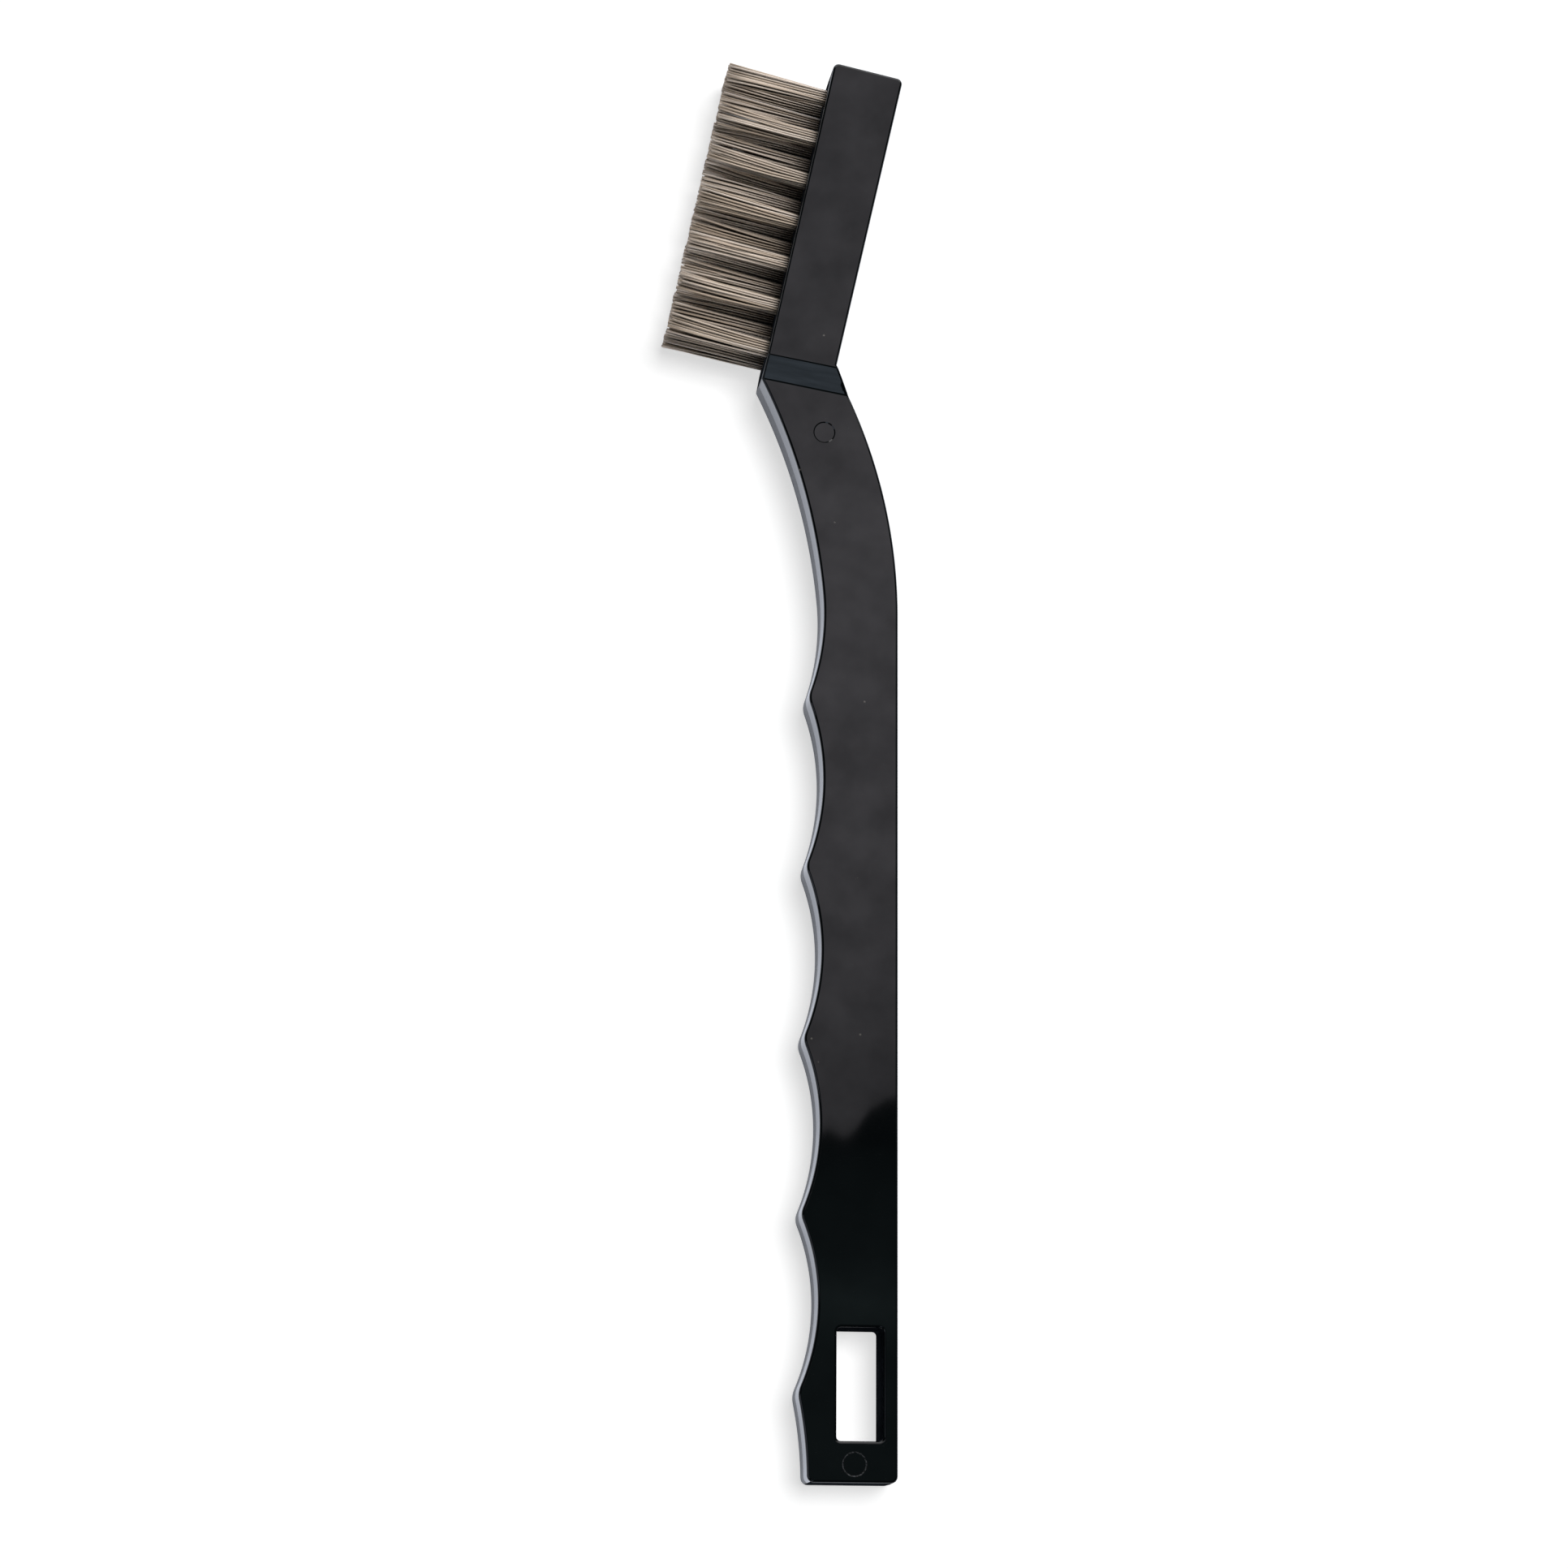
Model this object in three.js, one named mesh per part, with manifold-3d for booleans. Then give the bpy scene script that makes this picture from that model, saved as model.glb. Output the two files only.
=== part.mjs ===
// Hand brush with stainless wire tufts for scrubbing out drilled holes, slots and corners.
// One moulded plastic handle has a finger grip, a bent neck and a thicker head. Wire tufts stand in three
// staggered rows in blind holes of the head, and each is folded round a flat staple driven into its hole.
// Millimetres. The brush lies on its side: +X is its spine side, +Y its head end, +Z its upper side.

import * as THREE from "three";
import { mergeVertices } from "three/addons/utils/BufferGeometryUtils.js";
import Module from "manifold-3d";

// Grip: finger scallops between ridges, measured from the straight spine
const HANDLE_THICKNESS = 7;
const RIDGE_COUNT = 5;
const SCALLOP_PITCH = 21.85;
const RIDGE_WIDTH_AT_NECK = 11.6;
const RIDGE_WIDTH_AT_BUTT = 12.5;
const SCALLOP_DEPTH_AT_NECK = 2;
const SCALLOP_DEPTH_AT_BUTT = 2.35;
const BUTT_SETBACK = 1.2; // how far the butt stands in from the last ridge
const BUTT_CORNER_RADIUS = 0.9;
const RIDGE_ROUNDING = 1; // stretch of each scallop that the rounded ridge takes up
const EDGE_RADIUS = 0.4; // moulded round on every outer edge

// Neck: a spine arc that carries on from the grip, and a finger side arc up to the head
const NECK_SPINE_RADIUS = 69;
const NECK_SWEEP = THREE.MathUtils.degToRad(28.2);
const NECK_FINGER_RADIUS = 80;

// Tufts
const TUFTS_IN_LONG_ROW = 7;
const TUFT_PITCH = 5.9;
const HOLE_DIAMETER = 2.5;
const HOLE_DEPTH = 6.4;
const TRIM_LENGTH = 13.4; // bristle face to the trimmed tips
const STRAND_DIAMETER = 0.36;
const STRAND_RINGS = 2; // rings of strands round the middle one
const STRANDS_IN_FIRST_RING = 6; // each further ring has as many again
const TIP_DIAMETER = 3.375; // splayed tuft at its tips
const FAN_ANGLE = THREE.MathUtils.degToRad(2); // lean of the end tufts away from the middle
const FACE_SLICE = 0.8; // slice of the bristle face that joins the strands of a row
const STRAND_SINK = 0.4; // how far a strand reaches into that slice

// Staples: flat wire across each hole, inside the fold of the tuft
const STAPLE_THICKNESS = 0.4;
const STAPLE_HEIGHT = 1.6;
const STAPLE_BITE = 0.5; // reach into the plastic at each side of the hole
const FOLD_THICKNESS = 0.6; // wire that passes under the staple

// Head
const HEAD_LEAN = THREE.MathUtils.degToRad(11.95);
const HEAD_END_MARGIN = 4.25; // end of the bristle face to the nearest tuft
const HEAD_SIDE_WALL = 1.1;
const HOLE_FLOOR = 2.65; // plastic behind the holes, at the neck
const BACK_FLARE = THREE.MathUtils.degToRad(0.4); // the head grows deeper towards its end
const HEAD_CORNER_RADIUS = 0.8;
const BACK_CORNER_RISE = 3.6; // corner behind the head above the corner at the bristle face
const FACET_LENGTH = 2.85; // slope from the handle's face up to the head's face
const FACET_SKEW = THREE.MathUtils.degToRad(2.3); // turn of that slope from square to the head

// Hang slot
const SLOT_LENGTH = 13.75;
const SLOT_BUTT_WALL = 5.15;
const SLOT_SPINE_WALL = 1.9;
const SLOT_FINGER_WALL = 2.45;
const SLOT_CORNER_RADIUS = 0.5;

// Clearance left between any two pieces, and overlap of cutters and joined blocks past a surface
const FIT_GAP = 0.3;
const OVERLAP = 1.5;

// Smoothness of arcs, rounds and holes
const ARC_STEPS = 6;
const EDGE_STEPS = 2;
const HOLE_SIDES = 12;
const STRAND_SIDES = 3;
const MERGE_DISTANCE = 1e-4; // corners closer than this are one corner

// Sizes that follow from the ones above
const ROW_SPACING = HOLE_DIAMETER + FIT_GAP;
const ROW_NAMES = ["lower", "middle", "upper"];
const HEAD_THICKNESS = ROW_NAMES.length * ROW_SPACING + 2 * HEAD_SIDE_WALL;
const HEAD_DEPTH = HOLE_DEPTH + HOLE_FLOOR;
const HEAD_LENGTH = (TUFTS_IN_LONG_ROW - 1) * TUFT_PITCH + 2 * HEAD_END_MARGIN;
const GRIP_LENGTH = RIDGE_COUNT * SCALLOP_PITCH;

const black = new THREE.MeshStandardMaterial({ color: 0x1b1b1d, roughness: 0.28, metalness: 0 });
const wire = new THREE.MeshStandardMaterial({ color: 0xb7ab9b, roughness: 0.38, metalness: 1 });
const flatWire = new THREE.MeshStandardMaterial({ color: 0xb9b8b2, roughness: 0.4, metalness: 1 });

const wasm = await Module();
wasm.setup();

// Closed solid of a geometry, ready to be joined or cut
function solid(geometry) {
  const bare = geometry.clone();
  bare.deleteAttribute("normal");
  bare.deleteAttribute("uv");
  const merged = mergeVertices(bare, MERGE_DISTANCE);
  return new wasm.Manifold(
    new wasm.Mesh({
      numProp: 3,
      vertProperties: new Float32Array(merged.attributes.position.array),
      triVerts: new Uint32Array(merged.index.array),
    }),
  );
}

// Named mesh of a solid
function meshOf(made, name, material) {
  const { vertProperties, triVerts } = made.getMesh();
  const geometry = new THREE.BufferGeometry();
  geometry.setAttribute("position", new THREE.BufferAttribute(vertProperties, 3));
  geometry.setIndex(new THREE.BufferAttribute(triVerts, 1));
  geometry.computeVertexNormals();
  const mesh = new THREE.Mesh(geometry, material);
  mesh.name = name;
  return mesh;
}

// Flat outline made a plate about the middle plane, with its edges rounded if a radius is given
function plate(outline, thickness, edgeRadius = 0) {
  const geometry = new THREE.ExtrudeGeometry(outline, {
    depth: thickness - 2 * edgeRadius,
    curveSegments: ARC_STEPS,
    bevelEnabled: edgeRadius > 0,
    bevelThickness: edgeRadius,
    bevelSize: edgeRadius,
    bevelOffset: -edgeRadius,
    bevelSegments: EDGE_STEPS,
  });
  return geometry.translate(0, 0, edgeRadius - thickness / 2);
}

// Box between two corners
function boxBetween(low, high) {
  const size = high.clone().sub(low);
  const middle = low.clone().add(high).multiplyScalar(0.5);
  return new THREE.BoxGeometry(size.x, size.y, size.z).translate(middle.x, middle.y, middle.z);
}

// Round bar along +X between two depths of the head
function barAlongX(diameter, fromX, toX, y, z) {
  const bar = new THREE.CylinderGeometry(diameter / 2, diameter / 2, toX - fromX, HOLE_SIDES);
  return bar.rotateZ(-Math.PI / 2).translate((fromX + toX) / 2, y, z);
}

// Circle through three points
function circleThrough(a, b, c) {
  const ab = b.clone().sub(a);
  const ac = c.clone().sub(a);
  const twice = 2 * ab.cross(ac);
  const x = (ac.y * ab.lengthSq() - ab.y * ac.lengthSq()) / twice;
  const y = (ab.x * ac.lengthSq() - ac.x * ab.lengthSq()) / twice;
  return { centre: new THREE.Vector2(a.x + x, a.y + y), radius: Math.hypot(x, y) };
}

// Direction, as an angle, from a circle's centre to a point
function angleTo(circle, point) {
  return point.clone().sub(circle.centre).angle();
}

// The head's own frame: X from the bristle face into the head, Y along it from the neck corner, Z up
const neckCentre = new THREE.Vector2(-NECK_SPINE_RADIUS, GRIP_LENGTH);
const backCorner = neckCentre
  .clone()
  .add(new THREE.Vector2(Math.cos(NECK_SWEEP), Math.sin(NECK_SWEEP)).multiplyScalar(NECK_SPINE_RADIUS));
const headOrigin = new THREE.Vector2(-HEAD_DEPTH, -BACK_CORNER_RISE)
  .rotateAround(new THREE.Vector2(), -HEAD_LEAN)
  .add(backCorner);
const headFrame = new THREE.Group();
headFrame.position.set(headOrigin.x, headOrigin.y, 0);
headFrame.rotation.z = -HEAD_LEAN;
headFrame.updateMatrix();

// A point of the head's frame on the drawing
function onHead(x, y) {
  return new THREE.Vector2(x, y).rotateAround(new THREE.Vector2(), -HEAD_LEAN).add(headOrigin);
}

// A share of the way from the butt's size to the neck's size
function alongGrip(atButt, atNeck, step) {
  return THREE.MathUtils.lerp(atButt, atNeck, step / (RIDGE_COUNT - 1));
}

// Ridge points from the butt up, and the valley and scallop circle above each of them
const ridges = [];
const valleys = [];
const scallops = [];
for (let step = 0; step < RIDGE_COUNT; step += 1) {
  const width = alongGrip(RIDGE_WIDTH_AT_BUTT, RIDGE_WIDTH_AT_NECK, step);
  ridges.push(new THREE.Vector2(-width, (step + 0.5) * SCALLOP_PITCH));
}
ridges.forEach((ridge, step) => {
  const above = ridges[step + 1] ?? new THREE.Vector2(ridge.x, ridge.y + SCALLOP_PITCH);
  const depth = alongGrip(SCALLOP_DEPTH_AT_BUTT, SCALLOP_DEPTH_AT_NECK, step);
  const valley = ridge.clone().lerp(above, 0.5);
  valley.x += depth;
  valleys.push(valley);
  scallops.push(circleThrough(ridge, valley, above));
});

// Half scallop that ends square at the butt
const buttWidth = RIDGE_WIDTH_AT_BUTT - BUTT_SETBACK;
const buttScallop = circleThrough(
  ridges[0],
  new THREE.Vector2(-buttWidth, 0),
  new THREE.Vector2(ridges[0].x, -ridges[0].y),
);

// Finger side of the neck: a circle through the neck corner that runs smoothly into the last scallop
const lastScallop = scallops[RIDGE_COUNT - 1];
const reach = headOrigin.clone().sub(lastScallop.centre);
const centreGap = NECK_FINGER_RADIUS - lastScallop.radius;
const alongReach = (reach.lengthSq() + centreGap ** 2 - NECK_FINGER_RADIUS ** 2) / (2 * reach.length());
const besideReach = Math.sqrt(centreGap ** 2 - alongReach ** 2);
const toHead = reach.clone().normalize();
const neckFinger = {
  centre: lastScallop.centre
    .clone()
    .addScaledVector(toHead, alongReach)
    .addScaledVector(new THREE.Vector2(-toHead.y, toHead.x), besideReach),
  radius: NECK_FINGER_RADIUS,
};

// Adds a circle's stretch to an outline, clockwise
function addScallop(outline, circle, fromAngle, toAngle) {
  outline.absarc(circle.centre.x, circle.centre.y, circle.radius, fromAngle, toAngle, true);
}

// Outline of grip and neck. Its end inside the head stays clear of the head's own walls.
function gripOutline() {
  const corner = BUTT_CORNER_RADIUS;
  const outline = new THREE.Shape();
  outline.moveTo(0, corner);
  outline.lineTo(0, GRIP_LENGTH);
  outline.absarc(neckCentre.x, neckCentre.y, NECK_SPINE_RADIUS, 0, NECK_SWEEP);
  const backInside = onHead(HEAD_DEPTH - OVERLAP, BACK_CORNER_RISE + OVERLAP);
  const faceInside = onHead(OVERLAP, OVERLAP);
  outline.lineTo(backInside.x, backInside.y);
  outline.lineTo(faceInside.x, faceInside.y);
  outline.lineTo(headOrigin.x, headOrigin.y);

  let startAngle = angleTo(neckFinger, lastScallop.centre);
  addScallop(outline, neckFinger, angleTo(neckFinger, headOrigin), startAngle);
  for (let step = RIDGE_COUNT - 1; step >= 0; step -= 1) {
    const scallop = scallops[step];
    const below = step > 0 ? scallops[step - 1] : buttScallop;
    const ridge = ridges[step];
    addScallop(outline, scallop, startAngle, angleTo(scallop, ridge) + RIDGE_ROUNDING / scallop.radius);
    startAngle = angleTo(below, ridge) - RIDGE_ROUNDING / below.radius;
    const next = new THREE.Vector2(Math.cos(startAngle), Math.sin(startAngle));
    next.multiplyScalar(below.radius).add(below.centre);
    outline.quadraticCurveTo(ridge.x, ridge.y, next.x, next.y);
  }
  addScallop(outline, buttScallop, startAngle, Math.asin(corner / buttScallop.radius));
  outline.absarc(corner - buttWidth, corner, corner, Math.PI, 1.5 * Math.PI);
  outline.absarc(-corner, corner, corner, -0.5 * Math.PI, 0);
  return outline;
}

// Outline of the head down to the neck, with a root that reaches into the neck's plate
function headOutline() {
  const corner = HEAD_CORNER_RADIUS;
  const spine = new THREE.Path();
  spine.absarc(neckCentre.x, neckCentre.y, NECK_SPINE_RADIUS, 0, NECK_SWEEP);
  const root = onHead(OVERLAP, -OVERLAP);
  const onSpine = spine.getPoints(ARC_STEPS).filter((point) => {
    return point.clone().sub(headOrigin).rotateAround(new THREE.Vector2(), HEAD_LEAN).y > -OVERLAP;
  });
  const outline = new THREE.Shape();
  outline.moveTo(headOrigin.x, headOrigin.y);
  outline.lineTo(root.x, root.y);
  onSpine.forEach((point) => outline.lineTo(point.x, point.y));
  const endDepth = HEAD_DEPTH + Math.tan(BACK_FLARE) * (HEAD_LENGTH - BACK_CORNER_RISE);
  const back = onHead(endDepth - corner, HEAD_LENGTH - corner);
  outline.absarc(back.x, back.y, corner, -HEAD_LEAN - BACK_FLARE, Math.PI / 2 - HEAD_LEAN);
  const front = onHead(corner, HEAD_LENGTH - corner);
  outline.absarc(front.x, front.y, corner, Math.PI / 2 - HEAD_LEAN, Math.PI - HEAD_LEAN);
  return outline;
}

// Long wedge that slopes both faces of the head down to the handle's faces at the neck
function facetWedge() {
  const half = HEAD_THICKNESS / 2;
  const slope = (HEAD_THICKNESS - HANDLE_THICKNESS) / 2 / FACET_LENGTH;
  const low = HANDLE_THICKNESS / 2 - 2 * OVERLAP * slope;
  const far = HEAD_LENGTH + OVERLAP;
  const profile = new THREE.Shape([
    new THREE.Vector2(-2 * OVERLAP, -low),
    new THREE.Vector2(FACET_LENGTH, -half),
    new THREE.Vector2(far, -half),
    new THREE.Vector2(far, half),
    new THREE.Vector2(FACET_LENGTH, half),
    new THREE.Vector2(-2 * OVERLAP, low),
  ]);
  const width = 2 * HEAD_DEPTH;
  const wedge = new THREE.ExtrudeGeometry(profile, { depth: width, bevelEnabled: false });
  const turn = new THREE.Matrix4().makeBasis(
    new THREE.Vector3(0, 1, 0),
    new THREE.Vector3(0, 0, 1),
    new THREE.Vector3(1, 0, 0),
  );
  return wedge.applyMatrix4(turn).translate((HEAD_DEPTH - width) / 2, 0, 0).rotateZ(FACET_SKEW);
}

// Places of the tufts in the head's frame, row by row. The middle row is one tuft shorter.
const rows = ROW_NAMES.map((name, index) => {
  const height = (index - (ROW_NAMES.length - 1) / 2) * ROW_SPACING;
  const count = TUFTS_IN_LONG_ROW - (index % 2);
  const middle = HEAD_LENGTH / 2;
  const tufts = Array.from({ length: count }, (_, i) => middle + (i - (count - 1) / 2) * TUFT_PITCH);
  return { name, height, tufts };
});

// Depths below the bristle face: the fold's end, the window in the fold and the staple in that window
const foldEnd = HOLE_DEPTH - FIT_GAP;
const windowEnd = foldEnd - FOLD_THICKNESS;
const windowStart = windowEnd - STAPLE_HEIGHT - 2 * FIT_GAP;
const stapleStart = windowStart + FIT_GAP;
const stapleLength = HOLE_DIAMETER + 2 * STAPLE_BITE;

// Block across a hole at the staple's place, with clearance all round it if one is given
function stapleBlock(y, z, clearance = 0) {
  const half = new THREE.Vector3(0, stapleLength / 2, STAPLE_THICKNESS / 2).addScalar(clearance);
  return boxBetween(
    new THREE.Vector3(stapleStart - clearance, y - half.y, z - half.z),
    new THREE.Vector3(stapleStart + STAPLE_HEIGHT + clearance, y + half.y, z + half.z),
  );
}

// Slice of the bristle face under one row, with clearance all round it if one is given
function faceSlice(row, clearance = 0) {
  const halfWidth = HOLE_DIAMETER / 2 + clearance;
  const first = row.tufts[0] - HOLE_DIAMETER / 2 - clearance;
  const last = row.tufts.at(-1) + HOLE_DIAMETER / 2 + clearance;
  const outer = clearance > 0 ? -OVERLAP : 0;
  return boxBetween(
    new THREE.Vector3(outer, first, row.height - halfWidth),
    new THREE.Vector3(FACE_SLICE + clearance, last, row.height + halfWidth),
  );
}

// Hang slot, whose finger side wall is thinnest at the valley above the butt
function slotOutline() {
  const corner = SLOT_CORNER_RADIUS;
  const left = valleys[0].x + SLOT_FINGER_WALL + corner;
  const right = -SLOT_SPINE_WALL - corner;
  const bottom = SLOT_BUTT_WALL + corner;
  const top = SLOT_BUTT_WALL + SLOT_LENGTH - corner;
  const outline = new THREE.Shape();
  outline.absarc(right, bottom, corner, -0.5 * Math.PI, 0);
  outline.absarc(right, top, corner, 0, 0.5 * Math.PI);
  outline.absarc(left, top, corner, 0.5 * Math.PI, Math.PI);
  outline.absarc(left, bottom, corner, Math.PI, 1.5 * Math.PI);
  return outline;
}

// Handle: grip plate and head block in one, with the hang slot, tuft holes and staple pockets cut out
function handleSolid() {
  const onDrawing = (geometry) => solid(geometry.applyMatrix4(headFrame.matrix));
  const head = solid(plate(headOutline(), HEAD_THICKNESS, EDGE_RADIUS)).intersect(onDrawing(facetWedge()));
  let made = solid(plate(gripOutline(), HANDLE_THICKNESS, EDGE_RADIUS)).add(head);
  made = made.subtract(solid(plate(slotOutline(), HANDLE_THICKNESS + 2 * OVERLAP)));
  for (const row of rows) {
    made = made.subtract(onDrawing(faceSlice(row, FIT_GAP)));
    for (const y of row.tufts) {
      made = made.subtract(onDrawing(barAlongX(HOLE_DIAMETER, -OVERLAP, HOLE_DEPTH, y, row.height)));
      made = made.subtract(onDrawing(stapleBlock(y, row.height, FIT_GAP)));
    }
  }
  return made;
}

// One strand, from inside the face slice out to the trimmed tips
function strand(root, tip) {
  const along = tip.clone().sub(root);
  const length = along.length();
  const prism = new THREE.CylinderGeometry(STRAND_DIAMETER / 2, STRAND_DIAMETER / 2, length, STRAND_SIDES);
  const turn = new THREE.Quaternion().setFromUnitVectors(new THREE.Vector3(0, 1, 0), along.normalize());
  return prism.translate(0, length / 2, 0).applyQuaternion(turn).translate(root.x, root.y, root.z);
}

// Strands of one tuft in rings round the middle one, splayed and leaning a little from the head's middle
function tuftStrands(y, z) {
  const lean = Math.tan(FAN_ANGLE) * ((2 * y) / HEAD_LENGTH - 1);
  const ringPitch = (HOLE_DIAMETER - STRAND_DIAMETER) / 2 / STRAND_RINGS;
  const strands = [];
  for (let ring = 0; ring <= STRAND_RINGS; ring += 1) {
    const count = Math.max(1, STRANDS_IN_FIRST_RING * ring);
    for (let i = 0; i < count; i += 1) {
      const turn = (i / count) * 2 * Math.PI;
      const offset = new THREE.Vector3(0, Math.cos(turn), Math.sin(turn)).multiplyScalar(ring * ringPitch);
      const root = new THREE.Vector3(STRAND_SINK, y, z).add(offset);
      const tip = new THREE.Vector3(-TRIM_LENGTH, y, z).addScaledVector(offset, TIP_DIAMETER / HOLE_DIAMETER);
      tip.y += lean * TRIM_LENGTH;
      strands.push(strand(root, tip));
    }
  }
  return strands;
}

// One row of tufts on its slice of the bristle face, with a folded root in each hole
function tuftRow(row) {
  let made = solid(faceSlice(row));
  for (const y of row.tufts) {
    const root = barAlongX(HOLE_DIAMETER - 2 * FIT_GAP, STRAND_SINK, foldEnd, y, row.height);
    made = made.add(solid(root).subtract(solid(stapleBlock(y, row.height, FIT_GAP))));
    for (const one of tuftStrands(y, row.height)) {
      made = made.add(solid(one));
    }
  }
  return meshOf(made, `tuft_row_${row.name}`, wire);
}

const group = new THREE.Group();
group.add(meshOf(handleSolid(), "handle", black), headFrame);
for (const row of rows) {
  headFrame.add(tuftRow(row));
  row.tufts.forEach((y, i) => {
    const made = solid(stapleBlock(y, row.height));
    headFrame.add(meshOf(made, `staple_${row.name}_${i + 1}`, flatWire));
  });
}

// The origin is the middle of the footprint, on the surface that the head rests on
group.updateMatrixWorld(true);
const box = new THREE.Box3().setFromObject(group, true);
const footprint = box.getCenter(new THREE.Vector3()).setZ(box.min.z);
group.position.copy(footprint).negate();

export default group;
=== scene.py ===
# A wire cleaning brush lying on its broad side on a white table: a moulded black handle with a finger grip
# and a bent neck, and three staggered rows of stainless wire tufts that staples hold in the head.

import math
import random

import bmesh
import bpy
from mathutils import Matrix, Vector
from mathutils.geometry import interpolate_bezier


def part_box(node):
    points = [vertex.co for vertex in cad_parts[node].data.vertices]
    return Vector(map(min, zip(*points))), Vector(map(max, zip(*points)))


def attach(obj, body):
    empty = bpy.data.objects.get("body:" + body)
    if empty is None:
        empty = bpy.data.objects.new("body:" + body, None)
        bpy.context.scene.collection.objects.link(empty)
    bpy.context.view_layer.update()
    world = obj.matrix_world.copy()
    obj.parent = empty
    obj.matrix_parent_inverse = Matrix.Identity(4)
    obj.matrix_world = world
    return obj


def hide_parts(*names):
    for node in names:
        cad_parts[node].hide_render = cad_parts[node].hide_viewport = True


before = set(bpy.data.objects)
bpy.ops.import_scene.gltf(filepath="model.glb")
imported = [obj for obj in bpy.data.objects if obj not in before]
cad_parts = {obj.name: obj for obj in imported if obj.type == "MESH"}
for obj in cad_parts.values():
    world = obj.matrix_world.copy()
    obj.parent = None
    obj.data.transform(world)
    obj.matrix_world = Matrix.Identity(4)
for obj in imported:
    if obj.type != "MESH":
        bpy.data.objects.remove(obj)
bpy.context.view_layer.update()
mm = 0.001


# Handle
# One injection moulding in black polypropylene: finger grip, bent neck and thicker head in one. The mould
# parts at mid thickness, so the walls taper both ways from a fine flash line. Every outer edge is rounded.

handle_low, handle_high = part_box("handle")
middle_z = (handle_low.z + handle_high.z) / 2
butt_y = handle_low.y
spine_x = max(vert.co.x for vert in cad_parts["handle"].data.vertices if vert.co.y < 0)

grip_half = 3.5 * mm  # half the grip's thickness
head_half = (handle_high.z - handle_low.z) / 2

ridge_count = 5
scallop_pitch = 21.85 * mm
ridge_width_at_butt, ridge_width_at_neck = 12.5 * mm, 11.6 * mm
scallop_depth_at_butt, scallop_depth_at_neck = 2.35 * mm, 2.0 * mm
ridge_rounding = 1.0 * mm
ridge_points = 9  # along each rounding
butt_setback = 1.2 * mm
butt_corner = 0.9 * mm
grip_length = ridge_count * scallop_pitch

neck_spine_radius = 69.0 * mm
neck_sweep = math.radians(28.2)
neck_finger_radius = 80.0 * mm

staple_depth = 4.4 * mm  # middle of a staple below the bristle face
head_end_margin = 4.25 * mm  # end of the bristle face to the nearest tuft
head_depth = 9.05 * mm
back_corner_rise = 3.6 * mm
back_flare = math.radians(0.4)
head_corner_radius = 0.8 * mm

arc_step = 0.45 * mm  # length of one straight piece of a curved outline
least_arc_steps = 6


def middle_of(node):
    low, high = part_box(node)
    return (low + high) / 2


def in_plane(point):
    return Vector((point.x, point.y, 0))


# The head's own directions and corner follow from the row of staples inside it
up = Vector((0, 0, 1))
first_staple, last_staple = middle_of("staple_upper_1"), middle_of("staple_upper_7")
along_head = (last_staple - first_staple).normalized()
into_head = along_head.cross(up)
head_corner = in_plane(first_staple - staple_depth * into_head - head_end_margin * along_head)
head_length = (last_staple - first_staple).length + 2 * head_end_margin


def on_grip(x, y):
    return Vector((spine_x + x, butt_y + y, 0))


def on_head(x, y):
    return head_corner + x * into_head + y * along_head


def blend(start, end, share):
    return start + (end - start) * share


def direction_of(point, centre):
    return math.atan2(point.y - centre.y, point.x - centre.x)


def circle_centre(a, b, c):
    """Centre of the circle through three points."""
    ab, ac = b - a, c - a
    twice = 2 * ab.cross(ac).z
    across = ac.length_squared * ab - ab.length_squared * ac
    return a + Vector((-across.y, across.x, 0)) / twice


def line_to(bm, pen, point):
    end = bm.verts.new(point)
    bm.edges.new((pen, end))
    return end


def arc_to(bm, pen, centre, turn):
    radius = (pen.co - centre).length
    steps = max(least_arc_steps, math.ceil(abs(turn) * radius / arc_step))
    swept = bmesh.ops.spin(bm, geom=[pen], cent=centre, axis=up, angle=turn, steps=steps)
    return swept["geom_last"][0]


def arc_back_to(bm, pen, centre, end_direction):
    """Clockwise arc, up to where it lies in this direction from its centre."""
    turn = (direction_of(pen.co, centre) - end_direction) % (2 * math.pi)
    return arc_to(bm, pen, centre, -turn)


# Ridge points from the butt up, and the scallop above each of them
ridges = []
for step in range(ridge_count):
    width = blend(ridge_width_at_butt, ridge_width_at_neck, step / (ridge_count - 1))
    ridges.append(on_grip(-width, (step + 0.5) * scallop_pitch))
ridges_above = ridges[1:] + [ridges[-1] + Vector((0, scallop_pitch, 0))]
valleys = []
scallops = []
for step, (ridge, ridge_above) in enumerate(zip(ridges, ridges_above)):
    depth = blend(scallop_depth_at_butt, scallop_depth_at_neck, step / (ridge_count - 1))
    valley = ridge.lerp(ridge_above, 0.5) + Vector((depth, 0, 0))
    valleys.append(valley)
    scallops.append(circle_centre(ridge, valley, ridge_above))
butt_width = ridge_width_at_butt - butt_setback
below_butt = on_grip(-ridge_width_at_butt, -0.5 * scallop_pitch)
butt_scallop = circle_centre(ridges[0], on_grip(-butt_width, 0), below_butt)

# The finger side of the neck runs smoothly out of the last scallop and ends at the head's corner
last_scallop_radius = (ridges[-1] - scallops[-1]).length
to_corner = head_corner - scallops[-1]
centre_gap = neck_finger_radius - last_scallop_radius
along_way = (to_corner.length_squared + centre_gap**2 - neck_finger_radius**2) / (2 * to_corner.length)
beside_way = math.sqrt(centre_gap**2 - along_way**2)
toward_head = to_corner.normalized()
neck_finger = scallops[-1] + along_way * toward_head + beside_way * up.cross(toward_head)

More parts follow.
